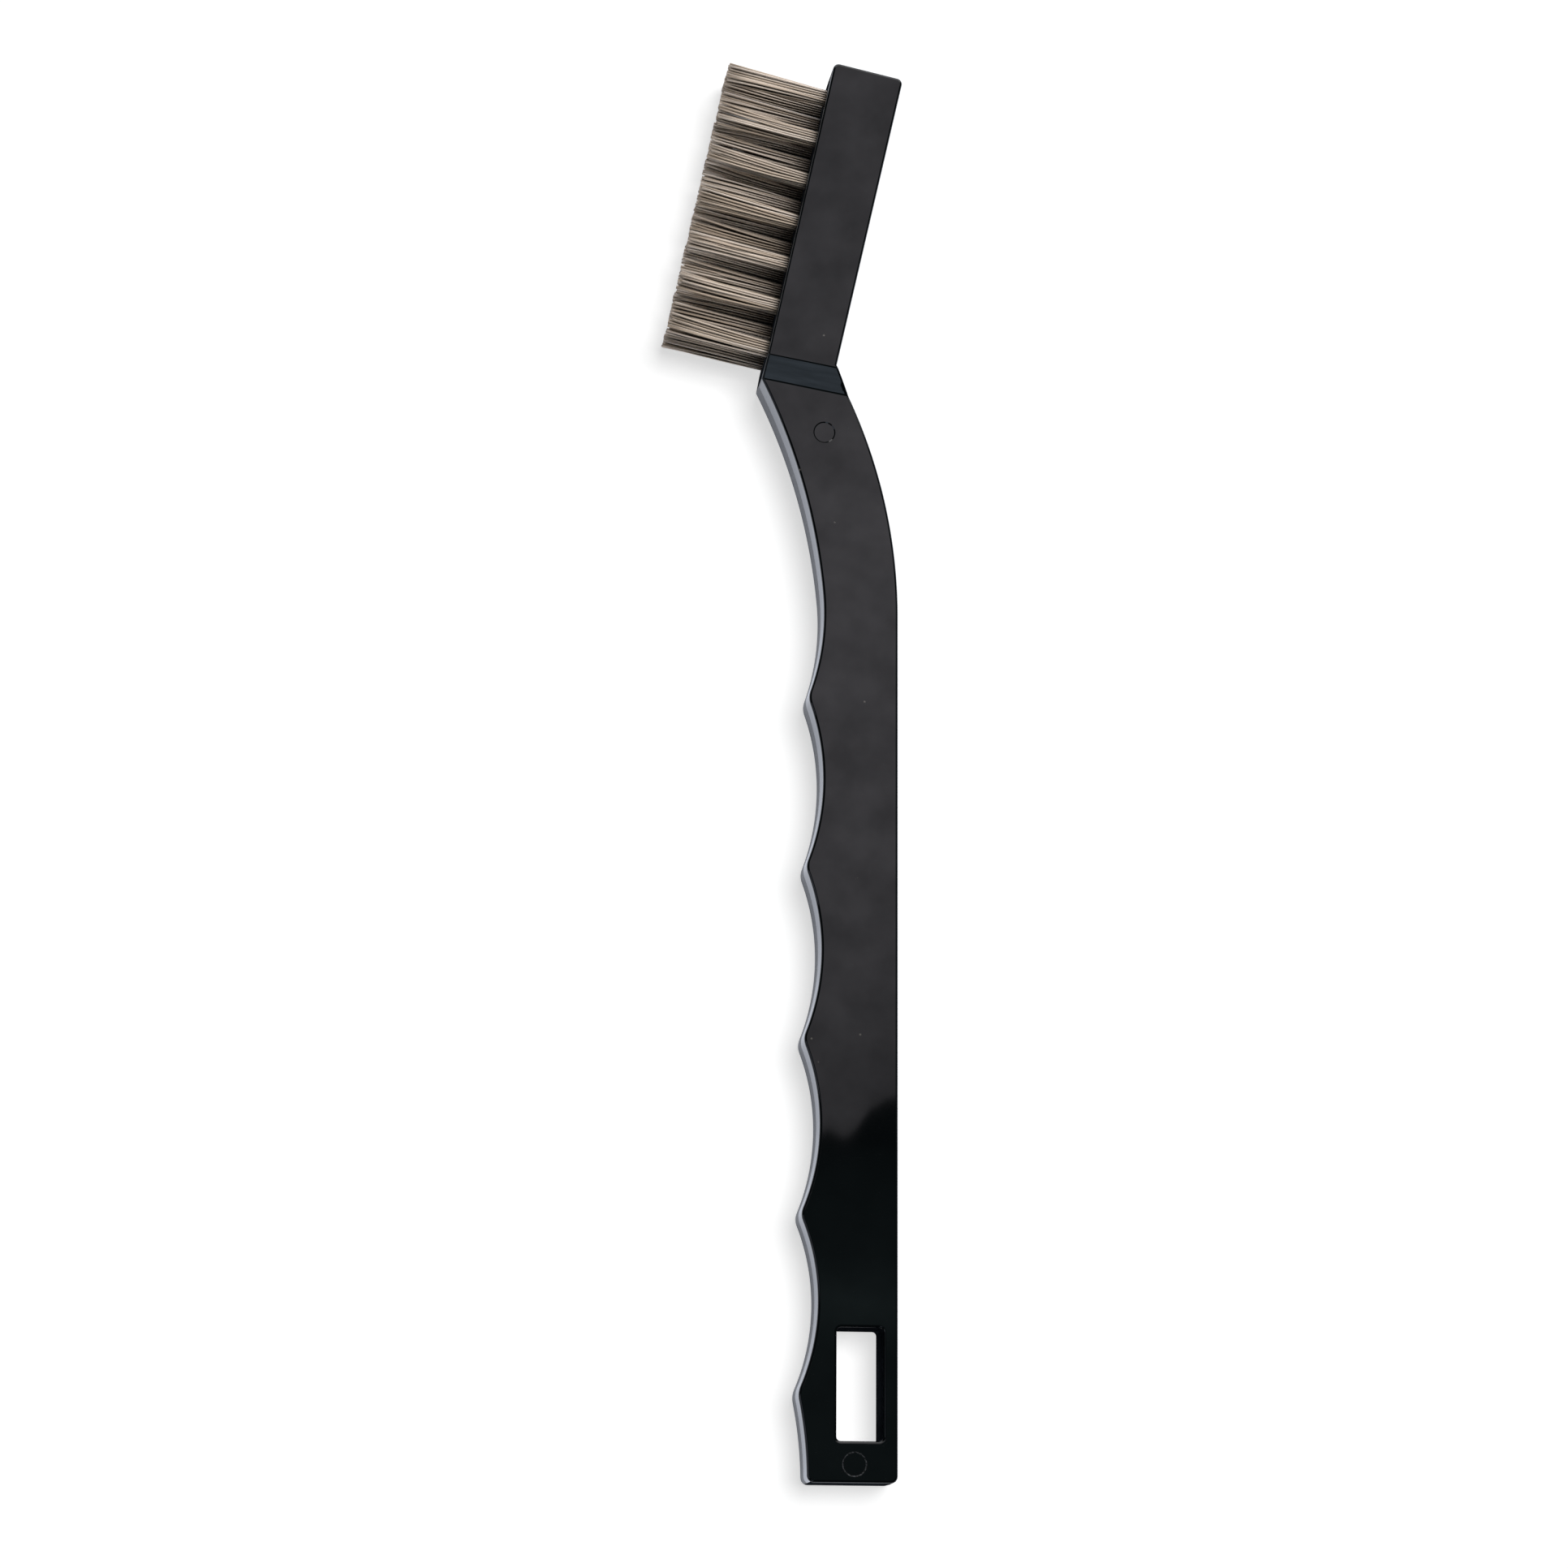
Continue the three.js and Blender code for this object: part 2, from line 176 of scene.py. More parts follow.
# Outline at mid thickness: spine, back of the neck, head, bristle face, finger side, butt
handle = bmesh.new()
neck_spine = on_grip(-neck_spine_radius, grip_length)
start = handle.verts.new(on_grip(0, butt_corner))
pen = line_to(handle, start, on_grip(0, grip_length))
pen = arc_to(handle, pen, neck_spine, neck_sweep)
end_depth = head_depth + math.tan(back_flare) * (head_length - back_corner_rise)
back_centre = on_head(end_depth - head_corner_radius, head_length - head_corner_radius)
front_centre = on_head(head_corner_radius, head_length - head_corner_radius)
flared = into_head * math.cos(back_flare) - along_head * math.sin(back_flare)
pen = line_to(handle, pen, back_centre + head_corner_radius * flared)
pen = arc_to(handle, pen, back_centre, math.pi / 2 + back_flare)
pen = line_to(handle, pen, front_centre + head_corner_radius * along_head)
pen = arc_to(handle, pen, front_centre, math.pi / 2)
pen = line_to(handle, pen, head_corner)
pen = arc_back_to(handle, pen, neck_finger, direction_of(scallops[-1], neck_finger))
for step in reversed(range(ridge_count)):
    ridge, scallop = ridges[step], scallops[step]
    below = scallops[step - 1] if step else butt_scallop
    radius, radius_below = (ridge - scallop).length, (ridge - below).length
    pen = arc_back_to(handle, pen, scallop, direction_of(ridge, scallop) + ridge_rounding / radius)
    leave = direction_of(ridge, below) - ridge_rounding / radius_below
    after = below + radius_below * Vector((math.cos(leave), math.sin(leave), 0))
    # The rounding is a quadratic curve that the ridge pulls at, here in its cubic form
    pulls = pen.co.lerp(ridge, 2 / 3), after.lerp(ridge, 2 / 3)
    for point in interpolate_bezier(pen.co, *pulls, after, ridge_points)[1:]:
        pen = line_to(handle, pen, point)
butt_scallop_radius = (ridges[0] - butt_scallop).length
pen = arc_back_to(handle, pen, butt_scallop, math.asin(butt_corner / butt_scallop_radius))
pen = line_to(handle, pen, on_grip(-butt_width, butt_corner))
pen = arc_to(handle, pen, on_grip(butt_corner - butt_width, butt_corner), math.pi / 2)
pen = line_to(handle, pen, on_grip(-butt_corner, 0))
pen = arc_to(handle, pen, on_grip(-butt_corner, butt_corner), math.pi / 2)
weld_distance = 0.01 * mm
bmesh.ops.remove_doubles(handle, verts=handle.verts[:], dist=weld_distance)

# Hang slot through the butt end
slot_length = 13.75 * mm
slot_butt_wall = 5.15 * mm
slot_spine_wall = 1.9 * mm
slot_finger_wall = 2.45 * mm
slot_corner = 0.5 * mm
slot_left = valleys[0].x + slot_finger_wall + slot_corner
slot_right = spine_x - slot_spine_wall - slot_corner
slot_low = butt_y + slot_butt_wall + slot_corner
slot_high = butt_y + slot_butt_wall + slot_length - slot_corner
slot_corners = [
    (slot_right, slot_low),
    (slot_right, slot_high),
    (slot_left, slot_high),
    (slot_left, slot_low),
]
slot_start = handle.verts.new((slot_right, slot_low - slot_corner, 0))
pen = slot_start
for step, (x, y) in enumerate(slot_corners):
    corner = Vector((x, y, 0))
    if step:
        facing = Vector((math.sin(step * math.pi / 2), -math.cos(step * math.pi / 2), 0))
        pen = line_to(handle, pen, corner + slot_corner * facing)
    pen = arc_to(handle, pen, corner, math.pi / 2)
handle.edges.new((pen, slot_start))

# Round marks that the ejector pins leave on the upper side, at the neck and at the butt
neck_pin, neck_pin_radius = on_grip(-9.6 * mm, 133.3 * mm), 1.42 * mm
butt_pin, butt_pin_radius = on_grip(-5.4 * mm, 2.3 * mm), 1.53 * mm
pin_sides = 64
for spot, radius in ((neck_pin, neck_pin_radius), (butt_pin, butt_pin_radius)):
    bmesh.ops.create_circle(
        handle, cap_ends=True, segments=pin_sides, radius=radius, matrix=Matrix.Translation(spot)
    )

bmesh.ops.triangle_fill(handle, edges=handle.edges[:], use_beauty=True, normal=up)

# Slope from the grip's face up to the head's face, with a soft crest and a tight foot
facet_length = 2.85 * mm
facet_skew = math.radians(2.3)
crest_softness = 0.09 * mm
foot_softness = 0.1 * mm
facet_up = Matrix.Rotation(facet_skew, 3, "Z") @ along_head
facet_rise = head_half - grip_half
facet_slope = facet_rise / facet_length


def face_height(point):
    """Height of the upper face over mid thickness, with parabolas at the slope's foot and crest."""
    climb = (point - head_corner).dot(facet_up) * facet_slope
    near_foot = max(foot_softness - abs(climb), 0)
    climb = max(climb, 0) + near_foot**2 / (4 * foot_softness)
    near_crest = max(crest_softness - abs(climb - facet_rise), 0)
    return grip_half + min(climb, facet_rise) - near_crest**2 / (4 * crest_softness)


# Wall profile from the flash line at mid thickness to the face: how far in from the outline, and how far up
flash_stand_out, flash_half_width = 0.02 * mm, 0.06 * mm
draft = 0.02 * mm  # how far the wall leans in on its way to the rounded edge
edge_radius = 0.32 * mm
edge_steps = 5
wall_insets = [0, flash_stand_out]
edge_drops = []
for step in range(edge_steps + 1):
    angle = step / edge_steps * math.pi / 2
    wall_insets.append(flash_stand_out + draft + edge_radius * (1 - math.cos(angle)))
    edge_drops.append(edge_radius * (1 - math.sin(angle)))


def wall_height(inset, point):
    face = face_height(point)
    heights = [0, flash_half_width] + [face - drop for drop in edge_drops]
    for step in range(1, len(heights)):
        start, end = wall_insets[step - 1], wall_insets[step]
        if inset <= end:
            return blend(heights[step - 1], heights[step], (inset - start) / (end - start))
    return face


inset_layer = handle.verts.layers.float.new("inset")
face_parts = handle.faces[:]
for outer, inner in zip(wall_insets, wall_insets[1:]):
    bmesh.ops.inset_region(
        handle, faces=face_parts, thickness=inner - outer, use_boundary=True, use_even_offset=True
    )
    for face in face_parts:
        for vert in face.verts:
            vert[inset_layer] = inner


def every_part(bm):
    return bm.verts[:] + bm.edges[:] + bm.faces[:]


# Cuts across the neck let the slope's foot and crest take their shape. Then every corner goes to its height.
foot_run, crest_run = foot_softness / facet_slope, crest_softness / facet_slope
facet_cuts = [share * foot_run for share in (-1, -0.5, 0, 0.5, 1)]
facet_cuts += [facet_length + share * crest_run for share in (-1, -0.6, -0.2, 0.2, 0.6, 1)]
for cut in facet_cuts:
    bmesh.ops.bisect_plane(
        handle,
        geom=every_part(handle),
        dist=weld_distance,
        plane_co=head_corner + cut * facet_up,
        plane_no=facet_up,
    )
for vert in handle.verts:
    vert.co.z = wall_height(vert[inset_layer], vert.co)
handle.verts.layers.float.remove(inset_layer)

mirror_weld = 0.001 * mm
bmesh.ops.mirror(handle, geom=every_part(handle), axis="Z", merge_dist=mirror_weld)
bmesh.ops.recalc_face_normals(handle, faces=handle.faces[:])

# The lower mould half has a spark finish. The cores of the slot and the bristle face, and the insert that the
# butt is gated through, are etched matt.
polished, spark, etched, scuffed = range(4)
etched_lean = 0.4  # most that the normal of an etched wall points up or down
butt_turn = 0.25  # least that the normal of the butt's wall points away from the head
finger_turn = 0.4  # most that it points to the finger side


def in_slot(point):
    margin = 2 * slot_corner
    across = slot_left - margin < point.x < slot_right + margin
    return across and slot_low - margin < point.y < slot_high + margin


def mould_finish(face):
    middle = face.calc_center_median()
    away, aside = -face.normal.y, -face.normal.x
    on_butt = middle.y < butt_y + butt_corner and away > butt_turn and aside < finger_turn
    if abs(face.normal.z) < etched_lean and (in_slot(middle) or on_butt):
        return etched
    return spark if middle.z < 0 else polished


for face in handle.faces:
    face.material_index = mould_finish(face)

# Each pin mark is a disc pressed a little below the upper face. The rim at the butt is scuffed pale.
pin_step = 0.15 * mm
pin_sink = 0.1 * mm
pin_faces = [face for face in handle.faces if len(face.verts) == pin_sides and face.normal.z > 0]
for face in pin_faces:
    rim = bmesh.ops.inset_region(handle, faces=[face], thickness=pin_step, use_even_offset=True)["faces"]
    at_butt = face.calc_center_median().y < 0
    for part in rim:
        part.material_index = scuffed if at_butt else polished
    bmesh.ops.translate(handle, verts=face.verts[:], vec=-pin_sink * up)

# The bristle face is flat, with a blind hole for each tuft
hole_radius = 1.25 * mm
hole_depth = 6.4 * mm
hole_sides = 20
tuft_rows = {"lower": 7, "middle": 6, "upper": 7}
bristle_inset = flash_stand_out + draft  # bristle face behind the outline at mid thickness
bristle_squareness = 0.85  # least that the normal of a part of the face points out of the head
foot_margin = 0.2 * mm  # how far the face may reach past the head's corner


def on_bristle_face(face):
    if face.normal.dot(into_head) > -bristle_squareness:
        return False
    for vert in face.verts:
        away = in_plane(vert.co) - head_corner
        if away.dot(into_head) > bristle_inset + weld_distance:
            return False
        if not -foot_margin < away.dot(along_head) < head_length - 0.5 * head_corner_radius:
            return False
    return True


def of_kind(parts, kind):
    return [part for part in parts if isinstance(part, kind)]


bristle_parts = [face for face in handle.faces if on_bristle_face(face)]
bmesh.ops.delete(handle, geom=bristle_parts, context="FACES")
mouth_edges = [edge for edge in handle.edges if edge.is_boundary]
hole_rims = []
across_head = Matrix((up, along_head, -into_head)).transposed().to_4x4()
for row, count in tuft_rows.items():
    for index in range(1, count + 1):
        staple = middle_of(f"staple_{row}_{index}")
        mouth = staple - (staple_depth - bristle_inset) * into_head - middle_z * up
        made = bmesh.ops.create_circle(
            handle,
            cap_ends=False,
            segments=hole_sides,
            radius=hole_radius,
            matrix=Matrix.Translation(mouth) @ across_head,
        )
        # Every edge of the circle once, always in the same order
        rim = list(dict.fromkeys(edge for vert in made["verts"] for edge in vert.link_edges))
        hole_rims.append(rim)
        mouth_edges += rim
filled = bmesh.ops.triangle_fill(handle, edges=mouth_edges, use_beauty=True, normal=-into_head)
etched_faces = of_kind(filled["geom"], bmesh.types.BMFace)
for rim in hole_rims:
    deeper = bmesh.ops.extrude_edge_only(handle, edges=rim)["geom"]
    bmesh.ops.translate(handle, verts=of_kind(deeper, bmesh.types.BMVert), vec=hole_depth * into_head)
    floor = bmesh.ops.edgeloop_fill(handle, edges=of_kind(deeper, bmesh.types.BMEdge))["faces"]
    etched_faces += of_kind(deeper, bmesh.types.BMFace) + floor
for face in etched_faces:
    face.material_index = etched
bmesh.ops.recalc_face_normals(handle, faces=handle.faces[:])
bmesh.ops.translate(handle, verts=handle.verts[:], vec=middle_z * up)

# The level faces shade flat, and every edge that is not rounded shades sharp
levelness = 0.9999  # least that the normal of a level face points up or down
crease = math.radians(25)
for face in handle.faces:
    face.smooth = abs(face.normal.z) < levelness
for edge in handle.edges:
    edge.smooth = edge.calc_face_angle() < crease


def piece_from(bm, name):
    mesh = bpy.data.meshes.new(name)
    bm.to_mesh(mesh)
    bm.free()
    piece = bpy.data.objects.new(name, mesh)
    bpy.context.scene.collection.objects.link(piece)
    return piece


def linear(hex_colour):
    shares = [int(hex_colour[at : at + 2], 16) / 255 for at in (1, 3, 5)]
    return [s / 12.92 if s <= 0.04045 else ((s + 0.055) / 1.055) ** 2.4 for s in shares] + [1]


def add(tree, kind, inputs=None, **settings):
    """Adds a node. A Mix node's two colours are its inputs 6 and 7, and the mixed one is its output 2."""
    node = tree.nodes.new(kind)
    for name, value in settings.items():
        setattr(node, name, value)
    for socket, value in (inputs or {}).items():
        if isinstance(value, bpy.types.NodeSocket):
            tree.links.new(value, node.inputs[socket])
        else:
            node.inputs[socket].default_value = value
    return node


def new_material(name):
    material = bpy.data.materials.new(name)
    material.use_nodes = True
    tree = material.node_tree
    return material, tree, tree.nodes["Principled BSDF"]


def film_on(tree, place, least, most):
    """Thin uneven film: clouds on the broad faces and, much finer across them, streaks along the walls."""
    cloud_width, streak_width = 5 * mm, 0.3 * mm
    thinnest, thickest = 0.3, 0.7  # the noise seldom goes past these
    cells = (1 / cloud_width, 1 / cloud_width, 1 / streak_width)
    stretched = add(tree, "ShaderNodeMapping", {"Vector": place, "Scale": cells})
    film = add(tree, "ShaderNodeTexNoise", {"Vector": stretched.outputs[0], "Scale": 1, "Detail": 3})
    noise_range = {"From Min": thinnest, "From Max": thickest, "To Min": least, "To Max": most}
    sheen = add(tree, "ShaderNodeMapRange", {"Value": film.outputs["Fac"], **noise_range})
    return sheen.outputs[0]


# Polished mould steel gives the black polypropylene a near mirror gloss. Slow waves, where the thick wall
# sank as it cooled, bend the reflections, a handling film clouds them, and a little dust lies on top.
moulded_black, tree, shader = new_material("black_polypropylene_moulded")
place = add(tree, "ShaderNodeTexCoord").outputs["Object"]
dust_gap, dust_radius = 3.2 * mm, 0.09 * mm
specks = add(tree, "ShaderNodeTexVoronoi", {"Vector": place, "Scale": 1 / dust_gap})
dust_edge = 2 * dust_radius / dust_gap  # where a speck has faded away, half gone at its radius
dust = add(
    tree,
    "ShaderNodeMapRange",
    {"Value": specks.outputs["Distance"], "From Max": dust_edge, "To Min": 1, "To Max": 0},
)
dusty = add(
    tree,
    "ShaderNodeMix",
    {"Factor": dust.outputs[0], 6: linear("#060809"), 7: linear("#77736c")},
    data_type="RGBA",
)
tree.links.new(dusty.outputs[2], shader.inputs["Base Color"])
shader.inputs["IOR"].default_value = 1.49
tree.links.new(film_on(tree, place, 0.41, 0.59), shader.inputs["Specular IOR Level"])
sink_width, sink_length, sink_height = 6 * mm, 60 * mm, 0.025 * mm
sinks = (1 / sink_width, 1 / sink_length, 1 / sink_width)
stretched = add(tree, "ShaderNodeMapping", {"Vector": place, "Scale": sinks})
waves = add(tree, "ShaderNodeTexNoise", {"Vector": stretched.outputs[0], "Scale": 1, "Detail": 0})
sink = add(tree, "ShaderNodeBump", {"Height": waves.outputs["Fac"], "Strength": 1, "Distance": sink_height})
tree.links.new(sink.outputs["Normal"], shader.inputs["Normal"])
shader.inputs["Roughness"].default_value = 0.032

# The spark finish scatters what the walls below the flash line reflect
spark_black, tree, shader = new_material("black_polypropylene_spark_finish")
place = add(tree, "ShaderNodeTexCoord").outputs["Object"]
shader.inputs["Base Color"].default_value = linear("#0a0c0d")
shader.inputs["IOR"].default_value = 1.49
tree.links.new(film_on(tree, place, 0.5, 0.76), shader.inputs["Specular IOR Level"])
shader.inputs["Roughness"].default_value = 0.45

# The etched steel leaves a soft matt black that mirrors nothing, a little uneven
etched_black, tree, shader = new_material("black_polypropylene_etched")
place = add(tree, "ShaderNodeTexCoord").outputs["Object"]
etch_patch = 0.8 * mm
etching = add(tree, "ShaderNodeTexNoise", {"Vector": place, "Scale": 1 / etch_patch, "Detail": 3})
uneven = add(
    tree,
    "ShaderNodeMix",
    {"Factor": etching.outputs["Fac"], 6: linear("#282b31"), 7: linear("#474d57")},
    data_type="RGBA",
)
tree.links.new(uneven.outputs[2], shader.inputs["Base Color"])
shader.inputs["Specular IOR Level"].default_value = 0
shader.inputs["Roughness"].default_value = 0.8

# Scuffing turns the plastic pale in fine specks
scuffed_black, tree, shader = new_material("black_polypropylene_scuffed")
place = add(tree, "ShaderNodeTexCoord").outputs["Object"]
speck_size = 0.25 * mm
least_worn, most_worn = 0.38, 0.68  # shares of the noise
specks = add(tree, "ShaderNodeTexNoise", {"Vector": place, "Scale": 1 / speck_size, "Detail": 2})
worn = add(
    tree,
    "ShaderNodeMapRange",
    {"Value": specks.outputs["Fac"], "From Min": least_worn, "From Max": most_worn},
)
pale = add(
    tree,
    "ShaderNodeMix",
    {"Factor": worn.outputs[0], 6: linear("#0c0d0e"), 7: linear("#58595c")},
    data_type="RGBA",
)
tree.links.new(pale.outputs[2], shader.inputs["Base Color"])
shader.inputs["Roughness"].default_value = 0.6
shader.inputs["Specular IOR Level"].default_value = 0.2

handle_piece = piece_from(handle, "moulded_handle")
for finish in (moulded_black, spark_black, etched_black, scuffed_black):
    handle_piece.data.materials.append(finish)
# The broad faces keep their flat shading right up to the rounded edges
flat_faces = handle_piece.modifiers.new("flat_faces", "WEIGHTED_NORMAL")
flat_faces.keep_sharp = True
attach(handle_piece, "root")
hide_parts("handle")


# Tufts
# Bundles of fine drawn stainless wire. Each wire is bent double round a staple in its hole, so both of its
# ends stand out of the bristle face, where they splay a little and are trimmed to one height.

wire_radius = 0.15 * mm  # thicker than most such wire, so that single wires show
wire_pitch = 0.312 * mm  # spacing of the wires packed in a hole
wire_sides = 5
hole_clearance = 0.02 * mm  # outermost wire to the wall of its hole
staple_half_gap = 0.3 * mm  # nearest wire's centre to the middle of the staple
staple_half_height = 0.8 * mm
closing = 0.5 * staple_half_gap  # how far the two halves of a tuft close up above the staple
trim_length = 13.4 * mm  # bristle face to the plane of the trim
trim_margin = 0.05 * mm  # that plane to the longest tips
trim_raggedness = 0.24 * mm
tip_spread = 1.2  # width of a tuft at its tips, as a share of its width at the face
tip_scatter = 0.07 * mm
wire_bow = 0.5 * tip_scatter
strand_count = 5  # groups of wires in a tuft that cling together on their way to the tips
strand_scatter = 0.17 * mm
tuft_bend = 0.28 * mm
counter_bend = 0.35  # share of that bend by which a tuft bows the other way at half length
fan_angle = math.radians(0.6)
tuft_lean = math.radians(1.0)
leg_stations = (1, 0.68, 0.34, 0)  # shares of the way from the bristle face to the tip
fold_stations = (0.3, 0.7)  # shares of the half turn under the staple
station_count = 2 * (len(leg_stations) + 1) + len(fold_stations)
last_station = station_count - 1
leg_shares = leg_stations + (0,) * (station_count - len(leg_stations))

# A straight wire of unit length, ready to be bent: one ring of corners for each station
straight = bmesh.new()
bmesh.ops.create_cone(
    straight, cap_ends=True, segments=wire_sides, radius1=wire_radius, radius2=wire_radius, depth=1
)
long_edges = [edge for edge in straight.edges if edge.calc_length() > 0.5]
bmesh.ops.subdivide_edges(straight, edges=long_edges, cuts=station_count - 2, use_grid_fill=True)
for face in straight.faces:
    face.smooth = len(face.verts) == 4
straight_wire = bpy.data.meshes.new("straight_wire")
straight.to_mesh(straight_wire)
straight.free()

# Packing of the wires in one half of a hole, in rows that nest
packing = []
row_gap = wire_pitch * math.sqrt(3) / 2
reach_in_hole = hole_radius - wire_radius - hole_clearance
most_levels, most_beside = math.ceil(hole_radius / row_gap), math.ceil(hole_radius / wire_pitch)
for level in range(most_levels):
    height = staple_half_gap + level * row_gap
    for index in range(-most_beside, most_beside + 1):
        beside = (index + 0.5 * (level % 2)) * wire_pitch
        if math.hypot(beside, height) <= reach_in_hole:
            packing.append((beside, height))


def leg(draw, beside, height, side, bend, lean, strands):
    """One half of a wire, from its tip down to the foot of the staple, beside the middle of its tuft."""
    length = trim_length - trim_margin - abs(draw.gauss(0, trim_raggedness))
    closed = side * (height - closing)
    strand_beside, strand_height = draw.choice(strands)
    tip_beside = beside * tip_spread + lean * length + bend + strand_beside + draw.gauss(0, tip_scatter)
    tip_height = closed * tip_spread + strand_height + draw.gauss(0, tip_scatter)
    bow = draw.gauss(0, wire_bow)
    points = []
    for share in leg_stations:
        arch = math.sin(math.pi * share)
        y = blend(beside, tip_beside, share) + arch * (bow - counter_bend * bend)
        z = blend(closed, tip_height, share) + arch * bow
        points.append(Vector((-share * length, y, z)))
    points.append(Vector((staple_depth + staple_half_height, beside, side * height)))
    return points


def bent_wire(draw, beside, height, bend, lean, strands):
    """Path of one wire: down on one side of the staple, round under it, and up on the other side."""
    path = leg(draw, beside, height, 1, bend, lean, strands)
    for share in fold_stations:
        angle = share * math.pi
        depth = staple_depth + staple_half_height + height * math.sin(angle)
        path.append(Vector((depth, beside, height * math.cos(angle))))
    return path + leg(draw, beside, height, -1, bend, lean, strands)[::-1]


def beside_path(path, station, corner):
    """Place of a corner of the straight wire: out from its station, square to how the path runs there."""
    before, after = path[max(station - 1, 0)], path[min(station + 1, last_station)]
    run = (after - before).normalized()
    across = (along_head - along_head.dot(run) * run).normalized()
    return path[station] + corner.x * across + corner.y * run.cross(across)


# Drawn stainless wire is dull, warm grey and only partly metallic to the eye. Each wire has its own tone,
# and painted shade darkens its colour where little open sky reaches it: deep in the bundles, most of all at
# the roots.
stainless, tree, shader = new_material("stainless_wire_drawn")
tone = add(tree, "ShaderNodeAttribute", attribute_name="tone").outputs["Fac"]
colour = add(
    tree,
    "ShaderNodeMix",
    {"Factor": tone, 6: linear("#d3bfa9"), 7: linear("#fcecdc")},
    data_type="RGBA",
)
painted_shade_reach = 6 * mm
tip_shade_lift = 0.34  # how much more open a tip counts as than a root, so that the painted shade fades toward the tips
wire_shaded_below, wire_unshaded_above = 0.42, 0.7  # shares of open sky
sky_samples = 4
open_above, open_below = [
    add(
        tree,
        "ShaderNodeAmbientOcclusion",
        {"Distance": painted_shade_reach, "Normal": facing},
        samples=sky_samples,
    ).outputs["AO"]
    for facing in (up, -up)
]
nearest_open = add(tree, "ShaderNodeMath", {0: open_above, 1: open_below}, operation="MAXIMUM")
reach = add(tree, "ShaderNodeAttribute", attribute_name="reach").outputs["Fac"]
tip_lifted_open = add(
    tree,
    "ShaderNodeMath",
    {0: reach, 1: tip_shade_lift, 2: nearest_open.outputs[0]},
    operation="MULTIPLY_ADD",
)
wire_unshaded_share = add(
    tree,
    "ShaderNodeMapRange",
    {"Value": tip_lifted_open.outputs[0], "From Min": wire_shaded_below, "From Max": wire_unshaded_above},
)
# Painted shade: the colour darkens to a dark brown where the sky samples find the wire hemmed in
wire_painted_shade = add(
    tree,
    "ShaderNodeMix",
    {"Factor": wire_unshaded_share.outputs[0], 6: linear("#2c231b"), 7: colour.outputs[2]},
    data_type="RGBA",
)
tree.links.new(wire_painted_shade.outputs[2], shader.inputs["Base Color"])
shader.inputs["Metallic"].default_value = 0.35
shader.inputs["Roughness"].default_value = 0.4

draw = random.Random(7)
head_axes = Matrix((into_head, along_head, up)).transposed()
for row, count in tuft_rows.items():
    tufts = bmesh.new()
    tone_layer = tufts.verts.layers.float.new("tone")
    reach_layer = tufts.verts.layers.float.new("reach")
    for index in range(1, count + 1):
        staple = middle_of(f"staple_{row}_{index}")
        root = staple - staple_depth * into_head
        share_along = (root - head_corner).dot(along_head) / head_length
        lean = math.tan(tuft_lean + fan_angle * (2 * share_along - 1))
        bend = draw.gauss(0, tuft_bend)
        strands = []
        for _ in range(strand_count):
            strands.append((draw.gauss(0, strand_scatter), draw.gauss(0, strand_scatter)))
        for beside, height in packing:
            wire = bent_wire(draw, beside, height, bend, lean, strands)
            path = [root + head_axes @ point for point in wire]
            wire_tone = draw.random()
            tufts.from_mesh(straight_wire)
            tufts.verts.ensure_lookup_table()
            for vert in tufts.verts[-len(straight_wire.vertices) :]:
                station = round((vert.co.z + 0.5) * last_station)
                vert.co = beside_path(path, station, vert.co)
                vert[tone_layer] = wire_tone
                vert[reach_layer] = leg_shares[min(station, last_station - station)]
    bmesh.ops.recalc_face_normals(tufts, faces=tufts.faces[:])
    tuft_piece = piece_from(tufts, f"wire_tufts_{row}")
    tuft_piece.data.materials.append(stainless)
    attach(tuft_piece, "root")
    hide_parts(f"tuft_row_{row}")


# Staples
# Short lengths of flat drawn wire, driven across each hole so that their ends bite into the plastic and hold
# the folded wires down. They sit deep in the holes, out of sight.

# Drawing leaves the flat wire bright, with a faint change of tone from place to place
flat_wire, tree, shader = new_material("flat_wire_drawn")
place = add(tree, "ShaderNodeTexCoord").outputs["Object"]
streak_width = 0.15 * mm
streaks = add(tree, "ShaderNodeTexNoise", {"Vector": place, "Scale": 1 / streak_width, "Detail": 2})
shade = add(
    tree,
    "ShaderNodeMix",
    {"Factor": streaks.outputs["Fac"], 6: linear("#a9a69e"), 7: linear("#d0cdc6")},
    data_type="RGBA",
)
tree.links.new(shade.outputs[2], shader.inputs["Base Color"])
shader.inputs["Metallic"].default_value = 1
shader.inputs["Roughness"].default_value = 0.38
for name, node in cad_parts.items():
    if name.startswith("staple_"):
        node.data.materials.clear()
        node.data.materials.append(flat_wire)


# Table
# A smooth matt white table top. The brush rocks on the thicker head until its butt touches, so the table
# meets the head's underside at the crest of the slope and the grip's underside at the butt.

crest = head_corner + facet_length * facet_up + head_depth * facet_up.cross(up)
table_slope = math.atan(facet_rise / (crest.y - butt_y))
table_half = 1.5  # half the side of the square table top, in metres
table_front = 0.15  # near edge of the table, from the middle of the brush
table = bmesh.new()
bmesh.ops.create_grid(table, x_segments=1, y_segments=1, size=table_half)
bmesh.ops.translate(table, verts=table.verts[:], vec=(0, table_half - table_front, 0))
tilt = Matrix.Rotation(-table_slope, 3, "X")
bmesh.ops.rotate(table, verts=table.verts[:], cent=(0, 0, 0), matrix=tilt)
bmesh.ops.translate(table, verts=table.verts[:], vec=(0, 0, crest.y * math.tan(table_slope)))
matt_white, tree, shader = new_material("white_table_matt")
shader.inputs["Base Color"].default_value = linear("#cdcdcd")
shader.inputs["Roughness"].default_value = 0.9
shader.inputs["Specular IOR Level"].default_value = 0

